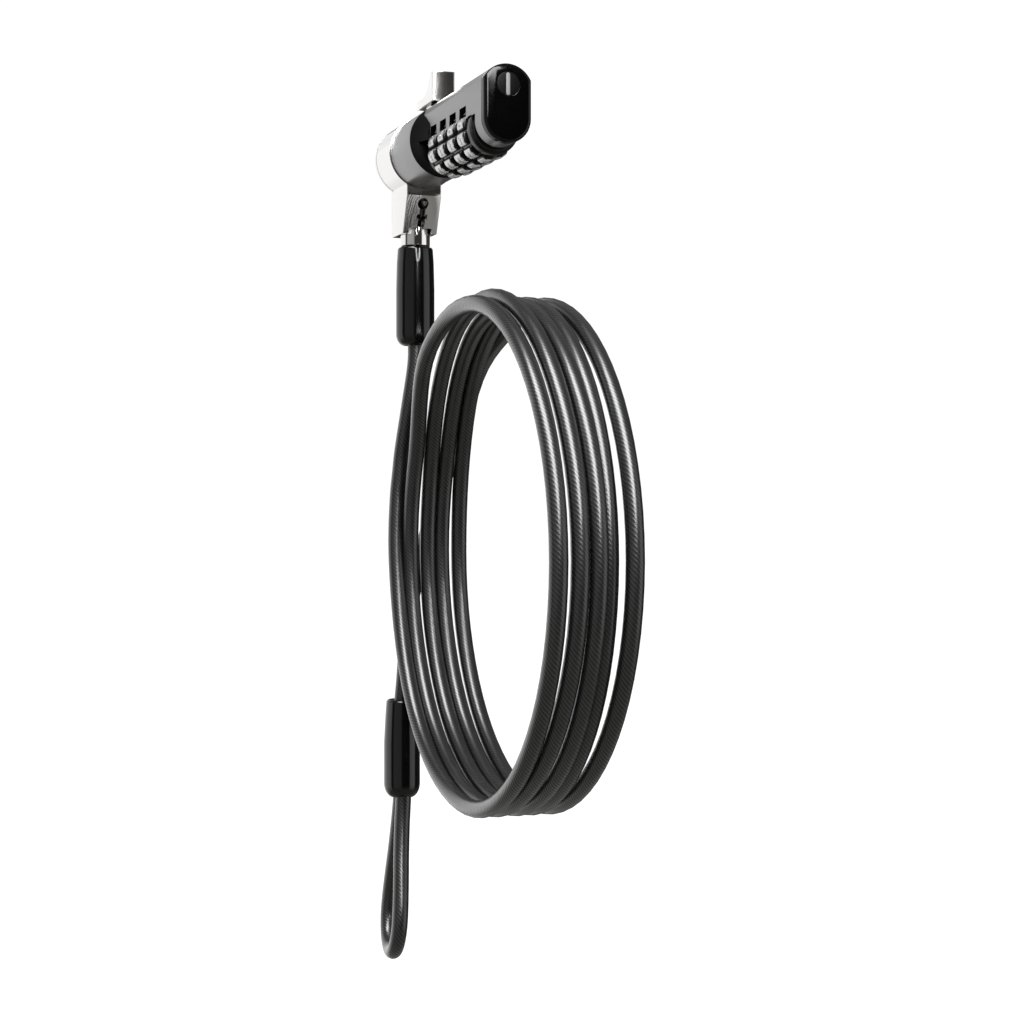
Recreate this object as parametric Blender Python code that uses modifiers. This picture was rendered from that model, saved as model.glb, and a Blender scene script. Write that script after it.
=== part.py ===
"""Laptop cable lock: a four-dial combination head, its swivelling yoke and a coiled steel cable.

The origin is the centre of the head's rear face, which lies against the laptop. +Y points into the
laptop, the head runs to -Y and +Z is up. Lengths below are in millimetres; MM turns them into metres.
"""

import math

import bmesh
import bpy
from mathutils import Matrix, Vector

MM = 0.001
GAP = 0.3                       # clearance between neighbouring pieces
OVER = 1.0                      # how far a cutter runs past the face it opens
OUTSIDE = 20.0                  # a place well outside the head, for cutters that open its whole side

# Head: stations along its axis
CAP_FRONT = -79.0
CAP_THICK = 2.0
WALL_BACK = -72.3               # inner face of the housing's front wall
BAY_BACK = -34.8
BORE_FRONT = -33.2
STEP = -32.0                    # where the flat-sided body meets the round barrel
RING_FRONT = -14.7
RING_BACK = -2.7

# Head: cross-sections
BODY_TOP_R = 6.2                # shallow arc on top of the flat-sided body
BODY_TOP_Z = 3.2                # its centre
BODY_HALF_W = 5.6               # half the body's width, and the radius of its round underside
BODY_BOTTOM_Z = -2.7            # centre of the underside
BARREL_R = 8.8
TRUNNION_R = 7.2
SHOULDER_FRONT = -38.3          # the cone between the flat sides and the barrel
SHOULDER_FRONT_R = 6.3
SHOULDER_BACK_R = 8.7
BORE_R = 4.6
SHAFT_HOLE_R = 1.75             # holes for the T-bar's shaft
PIN_X = 2.45                    # blocking pins, each side of the shaft
PIN_HOLE_R = 1.0
PEG_X = 3.4                     # the end cap's two pegs
PEG_Z = -2.5
SCREW_CIRCLE_R = 5.9            # the rear plate's screws
SCREW_HOLE_R = 0.95
RESET_Z = 4.75
RESET_R = 2.65

# Dials
DIAL_COUNT = 4
DIAL_FIRST_Y = -63.4
DIAL_PITCH = 7.5
DIAL_Z = -3.5
DIAL_CORE_R = 5.3
DIAL_TIP_R = 6.6
DIAL_WIDTH = 7.0
DIAL_BLOCKS = 10
BLOCK_WIDTH = 4.4
SLEEVE_R = 3.4
SPINDLE_R = 1.5

# Yoke and cable fittings
RING_OUTER_R = 9.0
RING_INNER_R = 7.5
ARM_HALF_W = 4.5
ARM_BOTTOM = -19.7
STUD_Y = -7.2
BALL_Z = -12.6
BALL_R = 1.1

# Cable
CABLE_R = 2.0
COIL_Y = -65.0
COIL_Z = -100.4
COIL_INNER_R = 55.2
COIL_OUTER_R = 60.0
COIL_LEFT = -6.9
COIL_RIGHT = 14.1
TAIL_X = -2.6                   # the lower boot's axis
TAIL_Y = -4.0
LEG_OFFSET = 2.05               # the loop's two legs, each side of the lower boot's axis
LOOP_LEAN = math.radians(7.0)   # the loop's plane, turned from the head's axis
LOOP_DRIFT = 0.07               # how far the loop hangs to -X for each millimetre down
BOOT_DEPTH_SCALE = 1.15         # the lower boot is oval, wider along the loop

AXIS_TURN = {
    "X": Matrix.Rotation(math.radians(90), 4, "Y"),
    "Y": Matrix.Rotation(math.radians(-90), 4, "X"),
    "Z": Matrix.Identity(4),
}
COLOURS = {
    "gunmetal": ((0.16, 0.16, 0.17, 1), 0.3, 0.9),
    "gloss_black": ((0.012, 0.012, 0.013, 1), 0.2, 0.0),
    "dial_black": ((0.02, 0.02, 0.02, 1), 0.45, 0.0),
    "chrome": ((0.75, 0.75, 0.74, 1), 0.08, 1.0),
    "steel": ((0.5, 0.5, 0.5, 1), 0.3, 1.0),
    "brass": ((0.6, 0.45, 0.18, 1), 0.3, 1.0),
    "rubber": ((0.03, 0.03, 0.03, 1), 0.8, 0.0),
    "cable": ((0.05, 0.05, 0.055, 1), 0.25, 0.3),
}


# Helpers

def clear_scene():
    for obj in list(bpy.data.objects):
        bpy.data.objects.remove(obj, do_unlink=True)


def new_collection(name):
    collection = bpy.data.collections.new(name)
    bpy.context.scene.collection.children.link(collection)
    return collection


def make_material(name):
    colour, roughness, metallic = COLOURS[name]
    material = bpy.data.materials.new(name)
    material.use_nodes = True
    shader = material.node_tree.nodes["Principled BSDF"]
    shader.inputs["Base Color"].default_value = colour
    shader.inputs["Roughness"].default_value = roughness
    shader.inputs["Metallic"].default_value = metallic
    return material


def metres(x, y, z):
    return Vector((x, y, z)) * MM


def add_mesh(name, bm, matrix):
    """Puts a bmesh, given in millimetres, into a new object in the cutters' collection."""
    bmesh.ops.scale(bm, vec=(MM, MM, MM), verts=bm.verts)
    mesh = bpy.data.meshes.new(name)
    bm.to_mesh(mesh)
    bm.free()
    obj = bpy.data.objects.new(name, mesh)
    obj.matrix_world = matrix
    CUTTERS.objects.link(obj)
    obj.hide_render = True
    obj.display_type = "WIRE"
    return obj


def box(name, x, y, z):
    """Box between the low and high values of x, y and z."""
    bm = bmesh.new()
    bmesh.ops.create_cube(bm, size=1.0)
    bmesh.ops.scale(bm, vec=(x[1] - x[0], y[1] - y[0], z[1] - z[0]), verts=bm.verts)
    return add_mesh(name, bm, Matrix.Translation(metres(sum(x) / 2, sum(y) / 2, sum(z) / 2)))


def rod(name, radius, axis, start, end, centre, segments=32):
    """Cylinder along an axis from start to end; centre gives its other two coordinates."""
    middle = list(centre)
    middle.insert("XYZ".index(axis), (start + end) / 2)
    bm = bmesh.new()
    bmesh.ops.create_cone(bm, cap_ends=True, segments=segments, radius1=radius, radius2=radius,
                          depth=end - start)
    return add_mesh(name, bm, Matrix.Translation(metres(*middle)) @ AXIS_TURN[axis])


def along(radius, start, end, name="rod", x=0.0, z=0.0, segments=32):
    """Cylinder along the head's axis."""
    return rod(name, radius, "Y", start, end, (x, z), segments)


def turned(name, profile, axis, centre, steps, closed=False):
    """Turned solid: profile points are (radius, station), down the outer side from the top."""
    bm = bmesh.new()
    verts = [bm.verts.new((radius, 0, station)) for radius, station in profile]
    for first, second in zip(verts, verts[1:]):
        bm.edges.new((first, second))
    if closed:
        bm.edges.new((verts[-1], verts[0]))
    obj = add_mesh(name, bm, Matrix.Translation(metres(*centre)) @ AXIS_TURN[axis])
    screw = obj.modifiers.new("turn", "SCREW")
    screw.steps = steps
    screw.render_steps = steps
    screw.use_merge_vertices = True
    screw.merge_threshold = 0.00001
    return obj


def curve_to_mesh(obj, name, matrix):
    """Welded mesh object of a curve, which it replaces."""
    bpy.context.scene.collection.objects.link(obj)
    bpy.context.view_layer.update()
    evaluated = obj.evaluated_get(bpy.context.evaluated_depsgraph_get())
    mesh = bpy.data.meshes.new_from_object(evaluated)
    bm = bmesh.new()
    bm.from_mesh(mesh)
    bmesh.ops.remove_doubles(bm, verts=bm.verts, dist=0.000001)
    bmesh.ops.recalc_face_normals(bm, faces=bm.faces)
    bmesh.ops.scale(bm, vec=(1 / MM, 1 / MM, 1 / MM), verts=bm.verts)
    bpy.data.objects.remove(obj, do_unlink=True)
    return add_mesh(name, bm, matrix)


def plate(name, outline, axis, start, end):
    """Flat outline extruded along Y (outline in X, Z) or along X (outline in Y, Z)."""
    curve = bpy.data.curves.new(name, "CURVE")
    curve.dimensions = "2D"
    curve.fill_mode = "BOTH"
    curve.extrude = (end - start) / 2 * MM
    spline = curve.splines.new("POLY")
    spline.points.add(len(outline) - 1)
    for point, (across, up) in zip(spline.points, outline):
        point.co = (across * MM, up * MM, 0, 1)
    spline.use_cyclic_u = True
    middle = (start + end) / 2
    if axis == "Y":
        matrix = Matrix.Translation(metres(0, middle, 0)) @ Matrix.Rotation(math.radians(90), 4, "X")
    else:
        columns = Matrix(((0, 0, 1, 0), (1, 0, 0, 0), (0, 1, 0, 0), (0, 0, 0, 1)))
        matrix = Matrix.Translation(metres(middle, 0, 0)) @ columns
    return curve_to_mesh(bpy.data.objects.new(name, curve), name, matrix)


def combine(obj, operation, others):
    for other in others:
        modifier = obj.modifiers.new(other.name, "BOOLEAN")
        modifier.operation = operation
        modifier.solver = "EXACT"
        modifier.object = other
    return obj


def join(obj, *others):
    return combine(obj, "UNION", others)


def cut(obj, *others):
    return combine(obj, "DIFFERENCE", others)


def piece(obj, name, material, pivot=None):
    """Turns a shape into a finished piece of the lock, carried by its pivot."""
    obj.name = name
    obj.data.name = name
    CUTTERS.objects.unlink(obj)
    PIECES.objects.link(obj)
    obj.hide_render = False
    obj.display_type = "TEXTURED"
    obj.data.materials.append(make_material(material))
    if obj.type == "MESH":
        obj.data.shade_smooth()
        obj.data.set_sharp_from_angle(angle=math.radians(35))
    if pivot is not None:
        obj.parent = pivot
        obj.matrix_parent_inverse = pivot.matrix_world.inverted()
    return obj


def pivot_at(name, x, y, z):
    empty = bpy.data.objects.new(name, None)
    empty.empty_display_size = 5 * MM
    empty.location = metres(x, y, z)
    PIECES.objects.link(empty)
    bpy.context.view_layer.update()
    return empty


def arc(radius, start, end, steps, centre=(0.0, 0.0)):
    """Points on a circular arc; angles in degrees."""
    angles = [math.radians(start + (end - start) * i / steps) for i in range(steps + 1)]
    return [(centre[0] + radius * math.cos(a), centre[1] + radius * math.sin(a)) for a in angles]


def flat_sided_outline(steps=12):
    """Shallow arc on top, flat sides and a half circle below."""
    edge = math.degrees(math.acos(BODY_HALF_W / BODY_TOP_R))
    top = arc(BODY_TOP_R, edge, 180 - edge, steps, (0, BODY_TOP_Z))
    return top + arc(BODY_HALF_W, 180, 360, steps + 4, (0, BODY_BOTTOM_Z))


def dial_outline():
    """Core circle with a raised block for each number."""
    points = []
    for block in range(DIAL_BLOCKS):
        middle = 90 + 360 * block / DIAL_BLOCKS
        points += arc(DIAL_CORE_R, middle - 18, middle - 13, 1)
        points += arc(DIAL_TIP_R, middle - 11.5, middle + 11.5, 2)
        points += arc(DIAL_CORE_R, middle + 13, middle + 17.9, 1)
    return [(x, z + DIAL_Z) for x, z in points]


def dial_stations():
    return [DIAL_FIRST_Y + DIAL_PITCH * i for i in range(DIAL_COUNT)]


# The head's fixed pieces

def build_housing():
    shell = plate("body", flat_sided_outline(), "Y", CAP_FRONT + CAP_THICK + GAP, -26.0)
    cone = [(0.0, STEP + 0.6), (SHOULDER_BACK_R, STEP + 0.6), (SHOULDER_BACK_R, STEP + 0.2),
            (SHOULDER_FRONT_R, SHOULDER_FRONT), (0.0, SHOULDER_FRONT)]
    join(shell, turned("shoulder", cone, "Y", (0, 0, 0), 48))
    join(shell, along(BARREL_R, STEP, RING_FRONT - GAP, "barrel", segments=48))
    join(shell, along(TRUNNION_R, -27.0, RING_BACK, "trunnion", segments=48))
    cut(shell, along(DIAL_CORE_R + 0.4, WALL_BACK, BAY_BACK, "bay", z=DIAL_Z, segments=40))
    cut(shell, box("bay_mouth", (-OUTSIDE, OUTSIDE), (WALL_BACK, BAY_BACK), (-OUTSIDE, -1.0)))
    for middle in dial_stations():
        cut(shell, along(DIAL_TIP_R + 0.35, middle - 2.5, middle + 2.5, "block_track", z=DIAL_Z, segments=40))
        cut(shell, box("window", (-OUTSIDE, OUTSIDE), (middle - 2.35, middle + 2.35), (-3.0, 2.0)))
    cut(shell, along(6.2, -69.8, -67.0, "bearing_groove", z=DIAL_Z, segments=40))
    cut(shell, box("roof_cavity", (-3.2, 3.2), (-71.0, -35.5), (0.9, 7.5)))
    cut(shell, along(SPINDLE_R + GAP, -74.5, -33.6, "spindle_seat", z=DIAL_Z, segments=24))
    cut(shell, along(1.6, -78.0, -70.0, "reset_hole", z=RESET_Z, segments=24))
    cut(shell, along(BORE_R, BORE_FRONT, RING_BACK + OVER, "bore", segments=40))
    cut(shell, along(SHAFT_HOLE_R, -34.2, STEP, "tee_seat", segments=24))
    cut(shell, box("stem_slot", (-1.8, 1.8), (-29.9, -21.7), (3.0, 12.0)))
    cut(shell, box("gate_passage", (0.2, 2.0), (-36.5, -32.5), (3.15, 4.45)))
    for side in (-1, 1):
        cut(shell, along(1.15, -78.0, -74.0, "peg_hole", x=side * PEG_X, z=PEG_Z, segments=16))
    for x, z in screw_places():
        cut(shell, along(SCREW_HOLE_R, -7.5, RING_BACK + OVER, "screw_hole", x=x, z=z, segments=16))
    return piece(shell, "housing", "gunmetal")


def screw_places():
    return arc(SCREW_CIRCLE_R, 30, 270, 2)


def build_end_cap():
    cap = plate("cap", flat_sided_outline(), "Y", CAP_FRONT, CAP_FRONT + CAP_THICK)
    weight_front_edges(cap)
    bevel = cap.modifiers.new("rim", "BEVEL")
    bevel.width = 0.9 * MM
    bevel.segments = 3
    bevel.limit_method = "WEIGHT"
    for side in (-1, 1):
        join(cap, along(0.85, -77.6, -74.6, "peg", x=side * PEG_X, z=PEG_Z, segments=16))
    cut(cap, along(RESET_R + GAP, CAP_FRONT - OVER, -76.0, "reset_opening", z=RESET_Z))
    return piece(cap, "end_cap", "gloss_black")


def weight_front_edges(obj):
    """Marks the edges round the front face, which is the one extruded towards -Y (local +Z)."""
    bm = bmesh.new()
    bm.from_mesh(obj.data)
    layer = bm.edges.layers.float.new("bevel_weight_edge")
    front = max(vert.co.z for vert in bm.verts)
    for edge in bm.edges:
        on_front = all(abs(vert.co.z - front) < 0.00001 for vert in edge.verts)
        if on_front and edge.calc_face_angle(0.0) > 0.5:
            edge[layer] = 1.0
    bm.to_mesh(obj.data)
    bm.free()


def build_bearings():
    front = along(5.9, -69.5, -67.3, z=DIAL_Z, segments=40)
    join(front, along(5.25, -70.3, -68.0, "rim", z=DIAL_Z, segments=40))
    cut(front, along(SPINDLE_R + GAP, -72, -66, "front_bearing_bore", z=DIAL_Z, segments=24))
    piece(front, "front_bearing", "dial_black")
    rear = along(5.4, -37.1, -35.1, z=DIAL_Z, segments=40)
    cut(rear, along(SPINDLE_R + GAP, -39, -34, "rear_bearing_bore", z=DIAL_Z, segments=24))
    piece(rear, "rear_bearing", "dial_black")


def build_spindle():
    spindle = along(SPINDLE_R, -74.2, -33.9, z=DIAL_Z, segments=24)
    for middle in dial_stations():
        join(spindle, box("fin", (-0.5, 0.5), (middle - 0.9, middle + 0.9), (DIAL_Z, DIAL_Z + 2.35)))
    piece(spindle, "dial_spindle", "brass")


def build_detent_leaf():
    leaf = box("leaf", (-2.9, -0.2), (-66.0, -37.5), (5.5, 5.8))
    for middle in dial_stations():
        join(leaf, box("finger", (-2.2, -1.0), (middle - 0.6, middle + 0.6), (3.5, 5.65)))
    piece(leaf, "detent_leaf", "steel")


def build_tee_bar():
    bar = along(1.45, -33.9, 3.2, segments=24)
    head = box("tee_head", (-1.3, 1.3), (2.2, 4.2), (-3.1, 3.1))
    add_bevel(head, 0.35, 2)
    join(bar, head, box("tee_collar", (-1.4, 1.4), (-4.4, -3.0), (-3.8, 3.8)))
    piece(bar, "tee_bar", "steel")


def add_bevel(obj, width, segments):
    bevel = obj.modifiers.new("edges", "BEVEL")
    bevel.width = width * MM
    bevel.segments = segments
    bevel.limit_method = "ANGLE"
    bevel.angle_limit = math.radians(40)


def build_rear_plate_and_pad():
    disc = along(RING_OUTER_R, -2.4, -1.1, segments=48)
    pad = along(8.5, -0.8, 0.0, segments=48)
    cut(disc, along(SHAFT_HOLE_R, -4, 1, "plate_centre", segments=24))
    cut(pad, along(SHAFT_HOLE_R, -2, 1, "pad_centre", segments=24))
    for side in (-1, 1):
        cut(disc, along(PIN_HOLE_R, -4, 1, "plate_pin_hole", x=side * PIN_X, segments=16))
        cut(pad, along(PIN_HOLE_R, -2, 1, "pad_pin_hole", x=side * PIN_X, segments=16))
    for number, (x, z) in enumerate(screw_places(), start=1):
        cut(disc, along(SCREW_HOLE_R, -4, 1, "plate_screw_hole", x=x, z=z, segments=16))
        cut(disc, along(1.5, -1.9, 0, "plate_counterbore", x=x, z=z, segments=20))
        screw = along(1.2, -1.8, -1.2, x=x, z=z, segments=20)
        join(screw, along(0.65, -7.0, -1.5, "shank", x=x, z=z, segments=16))
        cut(screw, box("drive_slot", (x - 0.15, x + 0.15), (-1.5, 0), (z - 2, z + 2)))
        piece(screw, f"plate_screw_{number}", "steel")
    piece(disc, "rear_plate", "chrome")
    piece(pad, "rear_pad", "rubber")


# Pieces that move in the head

def build_dials():
    for number, middle in enumerate(dial_stations(), start=1):
        pivot = pivot_at(f"dial_{number}_axis", 0, middle, DIAL_Z)
        half = DIAL_WIDTH / 2
        dial = along(DIAL_CORE_R, middle - half, middle + half, z=DIAL_Z, segments=30)
        join(dial, plate("blocks", dial_outline(), "Y", middle - BLOCK_WIDTH / 2, middle + BLOCK_WIDTH / 2))
        cut(dial, along(SLEEVE_R + GAP, middle - 5, middle + 5, "dial_bore", z=DIAL_Z, segments=24))
        cut(dial, box("keyway", (-0.9, 0.9), (middle - 5, middle + 5), (DIAL_Z, DIAL_Z + 4.2)))
        piece(dial, f"dial_{number}", "dial_black", pivot)
        piece(code_sleeve(middle), f"code_sleeve_{number}", "brass", pivot)


def code_sleeve(middle):
    """Ring with an inner groove for the spindle's fin, a gate through its front web and a key outside."""
    bore = SPINDLE_R + GAP
    groove = 2.65
    profile = [(bore, 3.3), (SLEEVE_R, 3.3), (SLEEVE_R, -3.3), (bore, -3.3), (bore, -1.2), (groove, -1.2),
               (groove, 1.2), (bore, 1.2)]
    sleeve = turned("sleeve", profile, "Y", (0, middle, DIAL_Z), 20, closed=True)
    cut(sleeve, box("gate", (-0.8, 0.8), (middle - 5, middle - 0.5), (DIAL_Z, DIAL_Z + groove)))
    join(sleeve, box("key", (-0.6, 0.6), (middle - 3.0, middle + 3.0), (DIAL_Z + 3.0, DIAL_Z + 3.9)))
    return sleeve


def build_reset_screw():
    pivot = pivot_at("reset_axis", 0, CAP_FRONT, RESET_Z)
    screw = along(RESET_R, CAP_FRONT, -77.3, z=RESET_Z)
    join(screw, along(1.3, -78.0, -69.4, "reset_shaft", z=RESET_Z, segments=24))
    join(screw, along(1.7, -70.6, -69.0, "reset_cam", z=RESET_Z + 0.3, segments=24))
    cut(screw, box("reset_slot", (-0.525, 0.525), (CAP_FRONT - OVER, CAP_FRONT + 0.6), (0, 10)))
    piece(screw, "reset_screw", "gloss_black", pivot)


def slide_outline():
    """Side view of the thumb tab: upright front face, hollowed back and a low tail."""
    hollow = arc(8.5, 202.1, 268, 6, (-21.3, 20.55))
    return [(-31.5, 10.1), (-31.5, 17.35)] + hollow + [(-18.0, 12.1), (-18.0, 10.1)]


def build_release():
    pivot = pivot_at("release_axis", 0, -23.0, 0)
    tab = plate("tab", slide_outline(), "X", -2.8, 2.8)
    join(tab, box("stem", (-1.5, 1.5), (-25.5, -22.0), (2.6, 11.0)))
    piece(tab, "thumb_slide", "chrome", pivot)
    carriage = along(BORE_R - GAP, -26.0, -20.0, segments=40)
    cut(carriage, along(SHAFT_HOLE_R, -27, -19, "carriage_bore", segments=24))
    cut(carriage, box("carriage_slot", (-1.8, 1.8), (-25.8, -21.7), (2.3, 6.0)))
    for side, name in ((-1, "blocking_pin_left"), (1, "blocking_pin_right")):
        cut(carriage, along(PIN_HOLE_R, -23.0, -19.0, "carriage_pin_hole", x=side * PIN_X, segments=16))
        piece(along(0.7, -22.7, 1.7, x=side * PIN_X, segments=20), name, "steel", pivot)
    piece(carriage, "pin_carriage", "brass", pivot)
    bar = box("bar", (0.5, 1.7), (-62.0, -26.3), (3.55, 4.15))
    for middle in dial_stations()[1:]:
        gap_middle = middle - DIAL_PITCH / 2
        join(bar, box("tooth", (0.5, 1.7), (gap_middle - 0.6, gap_middle + 0.6), (4.0, 4.8)))
    piece(bar, "gate_bar", "steel", pivot)


def tube(name, points, radius, sides):
    """Poly curve with a round section and filled ends; points in millimetres."""
    curve = bpy.data.curves.new(name, "CURVE")
    curve.dimensions = "3D"
    curve.bevel_depth = radius * MM
    curve.bevel_resolution = sides // 4
    curve.use_fill_caps = True
    spline = curve.splines.new("POLY")
    spline.points.add(len(points) - 1)
    for point, place in zip(spline.points, points):
        point.co = (*metres(*place), 1)
    obj = bpy.data.objects.new(name, curve)
    CUTTERS.objects.link(obj)
    return obj


def build_slide_spring():
    turns = 3
    per_turn = 10
    back = -26.6
    length = 6.2
    points = []
    for i in range(turns * per_turn + 1):
        turn = 2 * math.pi * i / per_turn
        points.append((2.15 * math.cos(turn), back - length * i / (turns * per_turn), 2.15 * math.sin(turn)))
    piece(tube("spring", points, 0.25, 8), "slide_spring", "steel")


# Yoke and what hangs on it

def build_yoke():
    pivot = pivot_at("yoke_axis", 0, (RING_FRONT + RING_BACK) / 2, 0)
    yoke = along(RING_OUTER_R, RING_FRONT - OVER, RING_BACK + OVER, segments=48)
    side = [(-15.1, -5.0), (-15.1, -10.5), (-11.2, ARM_BOTTOM), (-0.9, ARM_BOTTOM), (-0.9, -5.0)]
    join(yoke, plate("arm", side, "X", -ARM_HALF_W, ARM_HALF_W))
    cut(yoke, along(9.2, -OUTSIDE, RING_FRONT, "barrel_clearance", segments=48))
    cut(yoke, along(9.3, RING_BACK, 5.0, "plate_clearance", segments=48))
    cut(yoke, along(RING_INNER_R, -OUTSIDE, 5.0, "yoke_bore", segments=48))
    cut(yoke, along(BALL_R + GAP, -OUTSIDE, STUD_Y + 1.5, "ball_hole", z=BALL_Z, segments=24))
    cut(yoke, box("neck_slot", (-0.75, 0.75), (-OUTSIDE, STUD_Y + 1.45), (-16.0, BALL_Z)))
    cut(yoke, box("collar_slot", (-1.4, 1.4), (-OUTSIDE, STUD_Y + 1.55), (-16.3, -15.1)))
    cut(yoke, box("pin_slot", (-0.95, 0.95), (-OUTSIDE, STUD_Y + 1.35), (-OUTSIDE, -16.0)))
    cut(yoke, rod("ferrule_seat", 4.05, "Z", -25.0, -17.4, (0, STUD_Y), 40))
    cut(yoke, box("ferrule_notch", (-3.0, 3.0), (-OUTSIDE, STUD_Y), (-25.0, -18.4)))
    piece(yoke, "yoke", "chrome", pivot)


def build_cable_fittings(pivot):
    ball = arc(BALL_R, 90, -66, 6, (0, BALL_Z))
    stem = [(0.45, -15.4), (BALL_R, -15.4), (BALL_R, -16.0), (0.65, -16.0), (0.65, -22.2), (0.0, -22.2)]
    stud = [(0.0, BALL_Z + BALL_R)] + ball[1:] + stem
    piece(turned("stud", stud, "Z", (0, STUD_Y, 0), 16), "ball_stud", "chrome", pivot)
    ferrule = [(0.95, -17.7), (3.45, -17.7), (3.75, -18.0), (3.75, -22.5), (0.95, -22.5)]
    piece(turned("ring", ferrule, "Z", (0, STUD_Y, 0), 28, closed=True), "ferrule", "chrome", pivot)
    boot = [(0.0, -22.8), (4.45, -22.8), (4.75, -23.7), (4.9, -30.0), (4.9, -41.0)]
    boot += arc(2.6, 0, -90, 5, (2.3, -45.2)) + [(0.0, -47.8)]
    upper = turned("upper", boot, "Z", (0, STUD_Y, 0), 28)
    cut(upper, rod("upper_socket", CABLE_R + GAP, "Z", -49.0, -44.8, (0, STUD_Y), 24))
    piece(upper, "upper_boot", "gloss_black", pivot)


def leg_places():
    """Middles of the loop's two legs where they enter the lower boot: near side, far side."""
    across = (math.sin(LOOP_LEAN), math.cos(LOOP_LEAN))
    return [(TAIL_X + side * LEG_OFFSET * across[0], TAIL_Y + side * LEG_OFFSET * across[1])
            for side in (-1, 1)]


def build_lower_boot(pivot):
    profile = [(0.0, -138.5), (3.4, -138.5), (4.05, -139.2), (4.5, -149.0), (4.6, -159.0)]
    profile += arc(3.0, 0, -90, 5, (1.6, -160.6)) + [(0.0, -163.6)]
    boot = turned("lower", profile, "Z", (TAIL_X, TAIL_Y, 0), 28)
    boot.matrix_world = (boot.matrix_world @ Matrix.Rotation(-LOOP_LEAN, 4, "Z")
                         @ Matrix.Diagonal((1, BOOT_DEPTH_SCALE, 1, 1)))
    cut(boot, rod("top_hole", CABLE_R + GAP, "Z", -145.0, -138.0, (TAIL_X, TAIL_Y), 24))
    cut(boot, rod("crimp_space", 3.6, "Z", -160.0, -144.0, (TAIL_X, TAIL_Y), 32))
    for x, y in leg_places():
        cut(boot, rod("leg_hole", CABLE_R + GAP, "Z", -165.0, -159.0, (x, y), 24))
    piece(boot, "lower_boot", "gloss_black", pivot)
    crimp = [(0.0, -144.4), (2.9, -144.4), (3.3, -144.9), (3.3, -159.1), (2.9, -159.6), (0.0, -159.6)]
    piece(turned("crimp", crimp, "Z", (TAIL_X, TAIL_Y, 0), 20), "end_crimp", "steel", pivot)


def loop_points():
    """End loop: down the near leg, round the bottom and up the far leg, as (along the loop, height)."""
    near = [(-2.05, -159.9), (-2.05, -164.1), (-2.7, -170.0), (-4.4, -177.0), (-6.9, -184.0), (-8.7, -190.0)]
    bottom = arc(9.2, 180, 360, 12, (0, -193.6))
    far = [(-along_loop, z) for along_loop, z in reversed(near)]
    return near + bottom + far


def smooth(points, steps):
    """Points on a Catmull-Rom curve through the given ones, steps to each stretch."""
    vectors = [Vector(p) for p in points]
    padded = [2 * vectors[0] - vectors[1]] + vectors + [2 * vectors[-1] - vectors[-2]]
    result = []
    for a, b, c, d in zip(padded, padded[1:], padded[2:], padded[3:]):
        for step in range(steps):
            t = step / steps
            result.append(0.5 * (2 * b + (c - a) * t + (2 * a - 5 * b + 4 * c - d) * t ** 2
                                 + (3 * b - a - 3 * c + d) * t ** 3))
    return result + [vectors[-1]]


def coil_place(radius, angle, x):
    """Place on the coil: angle 0 is the far side, growing downwards there."""
    turn = math.radians(angle)
    return (x, COIL_Y + radius * math.cos(turn), COIL_Z - radius * math.sin(turn))


def build_cable(pivot):
    upper = [(0.0, STUD_Y, -45.1), (0.0, STUD_Y, -52.0), (-1.3, -6.6, -62.0), (-2.8, -5.1, -74.0),
             (-3.4, -4.8, -80.0)]
    piece(tube("upper_tail", smooth(upper, 2), CABLE_R, 8), "cable_upper_tail", "cable", pivot)
    corner = 2.0
    left, right, inner, outer = COIL_LEFT, COIL_RIGHT, COIL_INNER_R, COIL_OUTER_R
    ring = [(inner, right - corner), (inner + corner, right), (outer - corner, right),
            (outer, right - corner), (outer, left + corner), (outer - corner, left),
            (inner + corner, left), (inner, left + corner)]
    piece(turned("ring", ring, "X", (0, COIL_Y, COIL_Z), 48, closed=True), "cable_coil", "cable", pivot)
    piece(tube("lower_tail", smooth(lower_route(), 3), CABLE_R, 8), "cable_lower_tail", "cable", pivot)
    across = Vector((math.sin(LOOP_LEAN), math.cos(LOOP_LEAN), 0))
    loop = []
    for along_loop, z in loop_points():
        drift = LOOP_DRIFT * min(0.0, z + 164.0)
        loop.append(Vector((TAIL_X + drift, TAIL_Y, z)) + across * along_loop)
    piece(tube("loop", loop, CABLE_R, 8), "cable_loop", "cable", pivot)


def lower_route():
    """From the last turn, slantwise over the outside of the coil and down into the lower boot."""
    over = COIL_OUTER_R + GAP + CABLE_R
    crossing = [(-40, 11.7), (-28, 10.6), (-16, 8.0), (-4, 4.4), (8, 1.0)]
    route = [coil_place(over, angle, x) for angle, x in crossing]
    return route + [(-0.6, -3.4, -118.0), (-1.5, -3.8, -126.0), (-2.1, TAIL_Y, -133.5),
                    (TAIL_X, TAIL_Y, -139.2), (TAIL_X, TAIL_Y, -144.1)]


clear_scene()
PIECES = new_collection("laptop_cable_lock")
CUTTERS = new_collection("cutters")
build_housing()
build_end_cap()
build_bearings()
build_spindle()
build_detent_leaf()
build_tee_bar()
build_rear_plate_and_pad()
build_dials()
build_reset_screw()
build_release()
build_slide_spring()
build_yoke()
SWIVEL = pivot_at("cable_swivel_axis", 0, STUD_Y, BALL_Z)
build_cable_fittings(SWIVEL)
build_lower_boot(SWIVEL)
build_cable(SWIVEL)
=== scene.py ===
"""Looks of a laptop cable lock: a four-dial head, its chrome yoke and a coiled steel cable."""
import math

import bmesh
import bpy
from mathutils import Matrix, Vector


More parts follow.
